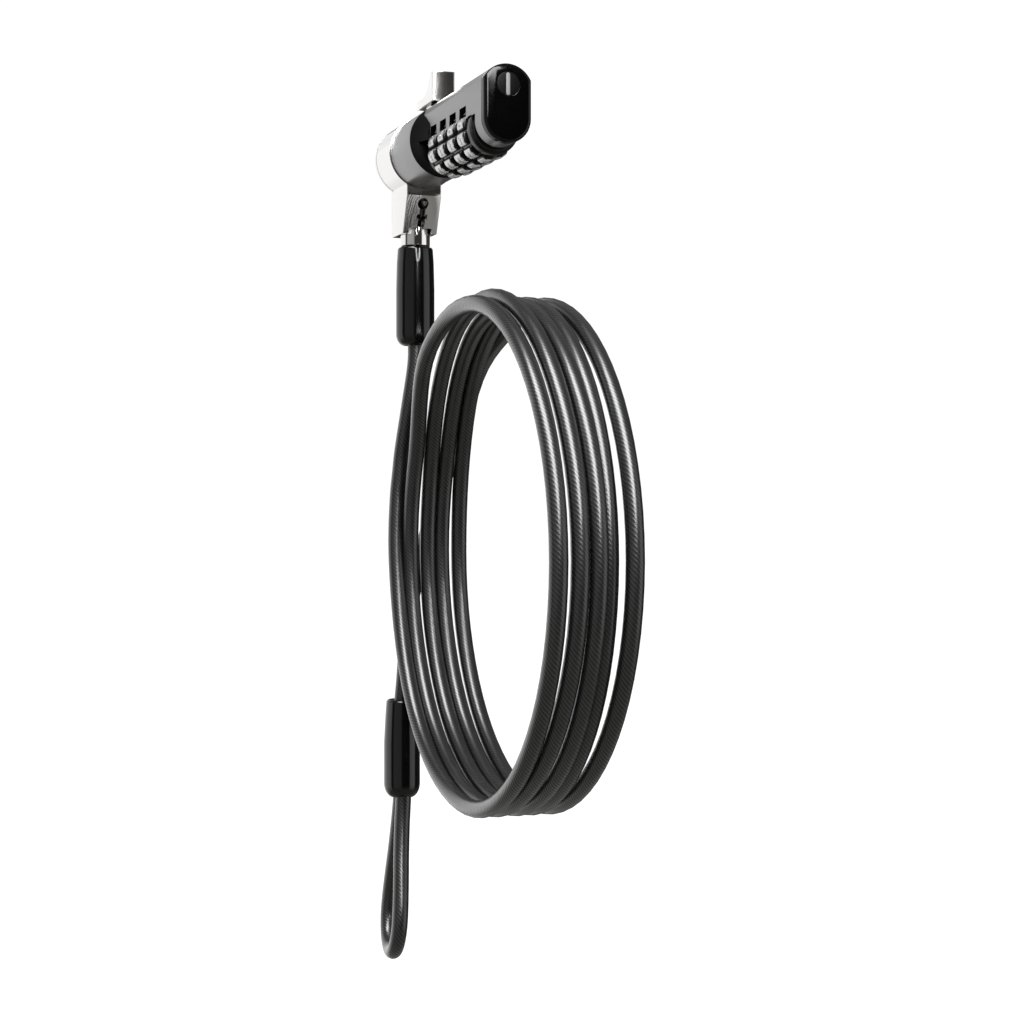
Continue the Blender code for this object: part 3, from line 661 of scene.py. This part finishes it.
def build_dial(number, middle):
    """Black wheel with ten light blocks, each with its digit."""
    front, back = middle - DIAL_HALF_W, middle + DIAL_HALF_W
    profile = rounded([(DIAL_BORE_R, front, 0), (DIAL_CORE_R, front, 0.3), (DIAL_CORE_R, back, 0.3),
                       (DIAL_BORE_R, back, 0)])
    wheel = lathe(f"dial_wheel_{number}", profile, "Y", (0, DIAL_Z), closed=True)
    piece(wheel, f"dial_set_{number}", [DIAL_BLACK], (f"dial_{number}",))
    for index in range(10):
        outline = [on_dial(index, angle, radius) for angle, radius in BLOCK_OUTLINE]
        pad = prism(f"dial_{number}_block_{index}", outline, "Y", middle - BLOCK_HALF_W,
                    middle + BLOCK_HALF_W, soft=0.55, segments=5)
        piece(pad, f"dial_set_{number}", [DIAL_BLACK, DIAL_GREY], (), 60)
        brighten_top(pad)
        digit = dial_digit(number, index, middle)
        piece(digit, f"dial_set_{number}", [DIGIT_GREY])


def on_dial(index, angle, radius):
    """Place on a dial's side view, from a block's number and the degrees from its middle."""
    turn = math.radians(90 + 36 * index + angle)
    return radius * math.cos(turn), DIAL_Z + radius * math.sin(turn)


def brighten_top(pad):
    """A block's outer face is light; its walls stay black."""
    for face in pad.data.polygons:
        outward = Vector((face.center.x, face.center.z - DIAL_Z * MM)).normalized()
        if outward.x * face.normal.x + outward.y * face.normal.z > 0.7:
            face.material_index = 1


def dial_digit(number, index, middle):
    """A block's number, standing a little proud of its crown."""
    text = bpy.data.curves.new("digit", "FONT")
    text.body = str(index)
    text.size = DIGIT_SIZE
    text.extrude = 2 * DIGIT_RELIEF
    text.align_x = "CENTER"
    text.align_y = "CENTER"
    holder = bpy.data.objects.new("digit", text)
    bpy.context.scene.collection.objects.link(holder)
    bpy.context.view_layer.update()
    mesh = bpy.data.meshes.new_from_object(holder.evaluated_get(bpy.context.evaluated_depsgraph_get()))
    bpy.data.objects.remove(holder, do_unlink=True)
    bm = bmesh.new()
    bm.from_mesh(mesh)
    bpy.data.meshes.remove(mesh)
    bmesh.ops.remove_doubles(bm, verts=bm.verts, dist=0.0005)
    # Level cuts every quarter of a millimetre let the digit follow the block's crown
    for step in range(-4, 5):
        bmesh.ops.bisect_plane(bm, geom=list(bm.verts) + list(bm.edges) + list(bm.faces),
                               plane_co=(0, step * 0.25, 0), plane_no=(0, 1, 0))
    for vert in bm.verts:
        across, up, out = vert.co
        angle = math.degrees(up / DIAL_TIP_R)
        x, z = on_dial(index, angle, crown_radius(angle) + out - DIGIT_RELIEF)
        vert.co = (x, middle - across, z)
    return mesh_object(f"dial_{number}_digit_{index}", bm)


def crown_radius(angle):
    """Radius of a block's outer face, at an angle from its middle."""
    for (low, start), (high, end) in zip(BLOCK_OUTLINE, BLOCK_OUTLINE[1:]):
        if low <= angle <= high:
            return start + (end - start) * (angle - low) / (high - low)
    return DIAL_CORE_R


def build_bearings():
    """Rings that carry the dials' spindle at both ends of the bay."""
    front = rounded([(1.8, -70.3, 0), (5.25, -70.3, 0.25), (5.25, -69.5, 0.05), (5.9, -69.5, 0.2),
                     (5.9, -67.3, 0.2), (1.8, -67.3, 0)])
    rear = rounded([(1.8, -37.1, 0), (5.4, -37.1, 0.2), (5.4, -35.1, 0.2), (1.8, -35.1, 0)])
    for name, profile in (("front_bearing", front), ("rear_bearing", rear)):
        ring = lathe(f"{name}_ring", profile, "Y", (0, DIAL_Z), closed=True)
        piece(ring, "lock_head", [DIAL_BLACK], (name,))


def build_thumb_slide():
    """Tab with a hollow back for the thumb, on a stem that goes down into the barrel."""
    hollow = arc(8.5, 202.1, 268, 20, (-21.3, 20.55))
    outline = [(-31.5, 10.1), (-31.5, 17.35)] + hollow + [(-18.0, 12.1), (-18.0, 10.1)]
    tab = prism("thumb_tab", outline, "X", -2.8, 2.8, soft=0.2)
    join(tab, block("stem", (-1.5, 1.5), (-25.5, -22.0), (2.6, 10.6)))
    piece(tab, "release", [CHROME], ("thumb_slide",))


def build_yoke():
    """Ring round the barrel and an arm below it, with the keyhole that takes the cable's ball stud."""
    side = rounded([(-8, -5.0, 0), (-15.1, -5.0, 0), (-15.1, -10.5, 0.35), (-11.2, -19.7, 0.5),
                    (-0.9, -19.7, 0.5), (-0.9, -5.0, 0), (-8, -5.0, 0)])[:-1]
    yoke = prism("swivel_yoke", side, "X", -4.5, 4.5, soft=0.12, segments=2)
    join(yoke, rod("ring", 9.0, "Y", -15.7, -1.7, steps=144))
    cut(yoke,
        rod("barrel_clearance", 9.2, "Y", -20.0, -14.7, steps=144),
        rod("plate_clearance", 9.3, "Y", PLATE_FRONT, 5.0, steps=144),
        rod("yoke_bore", 7.5, "Y", -20.0, 5.0, steps=144),
        rod("ball_hole", 1.4, "Y", -20.0, STUD_Y + 1.5, (0, BALL_Z), steps=48),
        block("neck_slot", (-0.75, 0.75), (-20.0, STUD_Y + 1.45), (-16.0, BALL_Z)),
        block("collar_slot", (-1.4, 1.4), (-20.0, STUD_Y + 1.55), (-16.3, -15.1)),
        block("pin_slot", (-0.95, 0.95), (-20.0, STUD_Y + 1.35), (-20.0, -16.0)),
        rod("ferrule_seat", 4.05, "Z", -25.0, -17.4, (0, STUD_Y)),
        block("ferrule_notch", (-3.0, 3.0), (-20.0, STUD_Y), (-25.0, -18.4)))
    piece(yoke, "yoke_body", [CHROME], ("yoke",), 30)


build_housing()
build_end_cap()
build_reset_screw()
for number, middle in enumerate(DIAL_STATIONS, start=1):
    build_dial(number, middle)
build_bearings()
build_thumb_slide()
build_yoke()


# CAD nodes that stay as they are

def smoothing_group():
    """Welds a CAD node's vertices and smooths it, keeping its sharp edges."""
    group = bpy.data.node_groups.new("smooth_by_angle", "GeometryNodeTree")
    group.interface.new_socket("Geometry", in_out="INPUT", socket_type="NodeSocketGeometry")
    group.interface.new_socket("Geometry", in_out="OUTPUT", socket_type="NodeSocketGeometry")
    nodes, links = group.nodes, group.links
    source, target = nodes.new("NodeGroupInput"), nodes.new("NodeGroupOutput")
    weld = nodes.new("GeometryNodeMergeByDistance")
    weld.inputs["Distance"].default_value = 0.000005
    faces = nodes.new("GeometryNodeSetShadeSmooth")
    edges = nodes.new("GeometryNodeSetShadeSmooth")
    edges.domain = "EDGE"
    edges.inputs["Shade Smooth"].default_value = False
    angle = nodes.new("GeometryNodeInputMeshEdgeAngle")
    sharp = nodes.new("FunctionNodeCompare")
    sharp.inputs["B"].default_value = math.radians(35)
    links.new(source.outputs[0], weld.inputs["Geometry"])
    links.new(weld.outputs[0], faces.inputs["Geometry"])
    links.new(faces.outputs[0], edges.inputs["Geometry"])
    links.new(angle.outputs["Unsigned Angle"], sharp.inputs["A"])
    links.new(sharp.outputs[0], edges.inputs["Selection"])
    links.new(edges.outputs[0], target.inputs[0])
    return group


KEPT = [
    (CHROME, ["rear_plate"]),
    (RUBBER, ["rear_pad"]),
    (STEEL, ["tee_bar", "plate_screw_1", "plate_screw_2", "plate_screw_3", "blocking_pin_left",
             "blocking_pin_right"]),
    (BRASS, ["dial_spindle", "pin_carriage", "code_sleeve_1", "code_sleeve_2", "code_sleeve_3",
             "code_sleeve_4"]),
    (INNER_STEEL, ["detent_leaf", "gate_bar", "slide_spring"]),
]


def dress_kept_nodes():
    """Gives the CAD nodes that stay their metals and smooth shading."""
    group = smoothing_group()
    for material, names in KEPT:
        for name in names:
            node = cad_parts[name]
            for slot in node.material_slots:
                slot.material = material
            node.modifiers.new("smooth", "NODES").node_group = group


dress_kept_nodes()


# Studio

FLOOR_SIZE = 30000
FLOOR_Z = -290


def make_floor():
    """Wide white floor below the hanging lock, left out of reflections."""
    bm = bmesh.new()
    bmesh.ops.create_grid(bm, x_segments=2, y_segments=2, size=FLOOR_SIZE)
    floor = mesh_object("floor", bm)
    floor.location = (0, 0, FLOOR_Z * MM)
    shader = Shader("floor_white", Roughness=0.9, Emission_Color=(1, 1, 1, 1), Emission_Strength=0.25)
    shader.colour(shader.blend(shader.noise(2.0), grey(0.93), grey(0.95)))
    floor.data.materials.append(shader.material)
    floor.visible_glossy = False


# Soft boxes round the object: (bearing in degrees, grey value, warmth)
SOFT_BOXES = [(-180, 0.05, 0), (-174, 0.05, 0), (-168, 1.1, 0), (-84, 1.1, 0), (-78, 0.06, 0), (-66, 0.06, 0),
              (-60, 0.4, 0), (-10, 0.35, 0), (0, 0.03, 0.1), (54, 0.03, 0.1), (60, 1.1, 0), (94, 1.1, 0),
              (102, 0.04, 0), (180, 0.05, 0)]


def make_world():
    """White backdrop; reflections see the soft boxes, dark gaps between them, and grey above and below."""
    world = bpy.data.worlds.new("studio")
    bpy.context.scene.world = world
    world.use_nodes = True
    tree = world.node_tree
    tree.nodes.clear()

    def node(kind, inputs=None, **settings):
        made = tree.nodes.new(kind)
        for key, value in settings.items():
            setattr(made, key, value)
        for key, value in (inputs or {}).items():
            if isinstance(value, bpy.types.NodeSocket):
                tree.links.new(value, made.inputs[key])
            else:
                made.inputs[key].default_value = value
        return made

    direction = node("ShaderNodeTexCoord").outputs["Generated"]
    to_right = node("ShaderNodeVectorMath", {0: direction, 1: (0.9426, -0.3338, 0)}, operation="DOT_PRODUCT")
    to_front = node("ShaderNodeVectorMath", {0: direction, 1: (-0.3338, -0.9426, 0)}, operation="DOT_PRODUCT")
    bearing = node("ShaderNodeMath", {0: to_right.outputs["Value"], 1: to_front.outputs["Value"]},
                   operation="ARCTAN2").outputs[0]
    turn = node("ShaderNodeMapRange", {"Value": bearing, "From Min": -math.pi, "From Max": math.pi})
    boxes = node("ShaderNodeValToRGB", {"Fac": turn.outputs[0]})
    set_ramp(boxes.color_ramp, SOFT_BOXES)
    height = node("ShaderNodeSeparateXYZ", {0: direction}).outputs["Z"]
    above = node("ShaderNodeMapRange", {"Value": height, "From Min": 0.25, "From Max": 0.65}).outputs[0]
    below = node("ShaderNodeMapRange", {"Value": height, "From Min": -0.25, "From Max": -0.6}).outputs[0]
    upper = mix(tree, above, boxes.outputs[0], (0.22, 0.22, 0.22, 1))
    lower = mix(tree, below, upper, (0.24, 0.24, 0.225, 1))
    rays = node("ShaderNodeLightPath")
    diffuse = mix(tree, rays.outputs["Is Diffuse Ray"], lower, (1.0, 1.0, 1.0, 1))
    seen = mix(tree, rays.outputs["Is Camera Ray"], diffuse, (1.05, 1.05, 1.05, 1))
    background = node("ShaderNodeBackground", {"Color": seen, "Strength": 1.0})
    output = node("ShaderNodeOutputWorld")
    tree.links.new(background.outputs[0], output.inputs[0])


def mix(tree, factor, first, second):
    """The first colour turns into the second as factor goes from 0 to 1."""
    node = tree.nodes.new("ShaderNodeMix")
    node.data_type = "RGBA"
    tree.links.new(factor, node.inputs[0])
    tree.links.new(first, node.inputs[6])
    node.inputs[7].default_value = second
    return node.outputs[2]


def set_ramp(ramp, stops):
    """Puts the soft boxes' greys on a ramp that runs once round the object."""
    while len(ramp.elements) > 1:
        ramp.elements.remove(ramp.elements[-1])
    ramp.elements[0].position = 0.0
    ramp.elements[0].color = grey(*stops[0][1:])
    for bearing, value, warmth in stops[1:]:
        element = ramp.elements.new((bearing + 180) / 360)
        element.color = grey(value, warmth)


def make_lights():
    """Long, narrow soft box high in front, which draws the bright lines along the cable."""
    data = bpy.data.lights.new("strip", "AREA")
    data.shape = "RECTANGLE"
    data.size = 2.4
    data.size_y = 0.75
    data.energy = 95.0
    strip = bpy.data.objects.new("strip", data)
    towards = Vector((-0.18, -0.60, 0.78)).normalized()
    along = Vector((-0.39, 0.78, 0.50))
    along = (along - towards * along.dot(towards)).normalized()
    rows = Matrix((along, towards.cross(along), towards)).transposed()
    strip.matrix_world = Matrix.Translation(Vector((0, -0.06, -0.1)) + towards * 1.5) @ rows.to_4x4()
    strip.visible_diffuse = False
    bpy.context.scene.collection.objects.link(strip)


make_floor()
make_world()
make_lights()
bpy.context.scene.view_settings.view_transform = "Standard"
